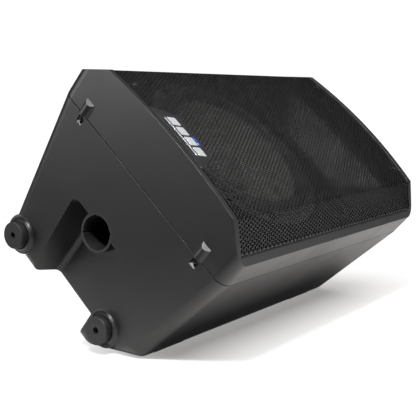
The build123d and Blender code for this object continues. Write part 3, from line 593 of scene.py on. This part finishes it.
# Floor, light and camera.
studio = {
    "white": 1.05,
    "worldHeights": (-0.1, 0.9),
    "worldGlow": (0.05, 0.08),
    "floorSize": 12.0,
    "floorRough": 0.75,
    "floorColour": (0.88, 0.855, 0.835, 1),
    # the dark floor colour below is a painted shadow that the shell reflects; the camera never sees
    # it
    "floorPaintedShadow": (0.012, 0.012, 0.012, 1),
    "floorShade": (-0.5, -0.16),
    "farFrom": 0.25,       # painted floor light for reflected rays fades to the right
    "farTo": 0.7,
    "farShare": 0.5,
    "bounceFrom": -0.01,   # and the painted shadow near the contact line lifts away from it
    "bounceTo": 0.055,
    "fadeFrom": -0.05,      # the floor burns out to white away from the contact line
    "fadeTo": 0.17,
    "contactHalf": 0.19,
    "contactCentre": (0.03, -0.05, 0),
}
lamps = {
    "top_box": {"at": (0.1, -1.2, 1.8), "aim": (0, -0.1, 0), "size": (1.9, 1.9), "power": 50.0},
    "front_box": {"at": (0.1, -1.8, 0.5), "aim": (0.1, -0.1, 0), "size": (1.4, 0.7), "power": 9.0},
    "left_box": {"at": (-2.3, 2.0, 0.75), "aim": (-0.2, 0, 0.2), "size": (2.2, 0.9), "power": 34.0},
    "key_box": {
        "at": (-1.05, -0.55, 1.6), "aim": (-0.1, 0, 0.15), "size": (0.22, 0.22), "power": 40.0,
    },
}
camera = {
    "fromShift": (-606.701, -471.7805, 41.295),
    "azimuth": 35.24,
    "pitch": 7.66,
    "lens": 72.09,
}


def buildFloor():
    mesh = bmesh.new()
    bmesh.ops.create_grid(mesh, x_segments=8, y_segments=8, size=studio["floorSize"])
    data = bpy.data.meshes.new("studio_floor")
    mesh.to_mesh(data)
    mesh.free()
    floor = bpy.data.objects.new("studio_floor", data)
    bpy.context.collection.objects.link(floor)
    material = bpy.data.materials.new("studio_floor")
    material.use_nodes = True
    tree = material.node_tree
    tree.nodes.clear()
    output = tree.nodes.new("ShaderNodeOutputMaterial")
    white = addNode(tree, "ShaderNodeEmission", Color=(1, 1, 1, 1), Strength=studio["white"])
    shifted = vectorMath(tree, "SUBTRACT", objectPoint(tree), studio["contactCentre"])
    parts = splitVector(tree, shifted)
    side = mathNode(tree, "ABSOLUTE", parts["X"])
    along = mathNode(tree, "MAXIMUM", mathNode(tree, "SUBTRACT", side, studio["contactHalf"]), 0.0)
    spread = addNode(tree, "ShaderNodeCombineXYZ", X=along, Y=parts["Y"], Z=0.0).outputs[0]
    distance = vectorMath(tree, "LENGTH", spread, output="Value")
    away = remap(tree, distance, studio["fadeFrom"], studio["fadeTo"], 0.0, 1.0)
    seen = addNode(tree, "ShaderNodeLightPath").outputs["Is Camera Ray"]
    # painted shadow on the floor for reflected rays: dark near the contact line, to the left and
    # far right
    place = splitVector(tree, objectPoint(tree))["X"]
    lit = remap(tree, place, *studio["floorShade"], 0.0, 1.0)
    bounce = remap(tree, distance, studio["bounceFrom"], studio["bounceTo"], 0.0, 1.0)
    beyondRight = remap(tree, place, studio["farFrom"], studio["farTo"], 1.0, studio["farShare"])
    paintedFloorLight = mathNode(tree, "MULTIPLY", mathNode(tree, "MULTIPLY", lit, bounce), beyondRight)
    clear = mathNode(tree, "MAXIMUM", seen, paintedFloorLight)
    paint = mixColour(tree, clear, studio["floorPaintedShadow"], studio["floorColour"])
    matt = addNode(
        tree, "ShaderNodeBsdfPrincipled", Base_Color=paint, Roughness=studio["floorRough"]
    )
    factor = mathNode(tree, "MULTIPLY", away, seen)
    mixed = mixShader(tree, factor, matt.outputs[0], white.outputs[0])
    tree.links.new(mixed, output.inputs["Surface"])
    data.materials.append(material)


def buildWorld():
    world = bpy.data.worlds.new("studio")
    bpy.context.scene.world = world
    world.use_nodes = True
    tree = world.node_tree
    tree.nodes.clear()
    output = tree.nodes.new("ShaderNodeOutputWorld")
    direction = addNode(tree, "ShaderNodeTexCoord").outputs["Generated"]
    height = splitVector(tree, direction)["Z"]
    glow = remap(tree, height, *studio["worldHeights"], *studio["worldGlow"])
    lighting = addNode(tree, "ShaderNodeBackground", Color=(1, 1, 1, 1), Strength=glow)
    backdrop = addNode(
        tree, "ShaderNodeBackground", Color=(1, 1, 1, 1), Strength=studio["white"]
    )
    seen = addNode(tree, "ShaderNodeLightPath").outputs["Is Camera Ray"]
    mixed = mixShader(tree, seen, lighting.outputs[0], backdrop.outputs[0])
    tree.links.new(mixed, output.inputs["Surface"])


def buildLamps():
    for name, lamp in lamps.items():
        data = bpy.data.lights.new(name, "AREA")
        data.shape = "RECTANGLE"
        data.size, data.size_y = lamp["size"]
        data.energy = lamp["power"]
        piece = bpy.data.objects.new(name, data)
        piece.location = lamp["at"]
        aim = Vector(lamp["aim"]) - Vector(lamp["at"])
        piece.rotation_euler = aim.to_track_quat("-Z", "Y").to_euler()
        bpy.context.collection.objects.link(piece)


def buildCamera():
    data = bpy.data.cameras.new("camera")
    data.lens = camera["lens"]
    data.sensor_width = 36.0
    data.dof.use_dof = False
    piece = bpy.data.objects.new("camera", data)
    piece.location = (Vector(camera["fromShift"]) + Vector(cabinet["shift"])) * mm
    piece.rotation_euler = (radians(90 - camera["pitch"]), 0, radians(camera["azimuth"] - 90))
    bpy.context.collection.objects.link(piece)
    bpy.context.scene.camera = piece


buildFloor()
buildWorld()
buildLamps()
buildCamera()
bpy.context.scene.view_settings.view_transform = "Standard"
print("floor, light and camera set")
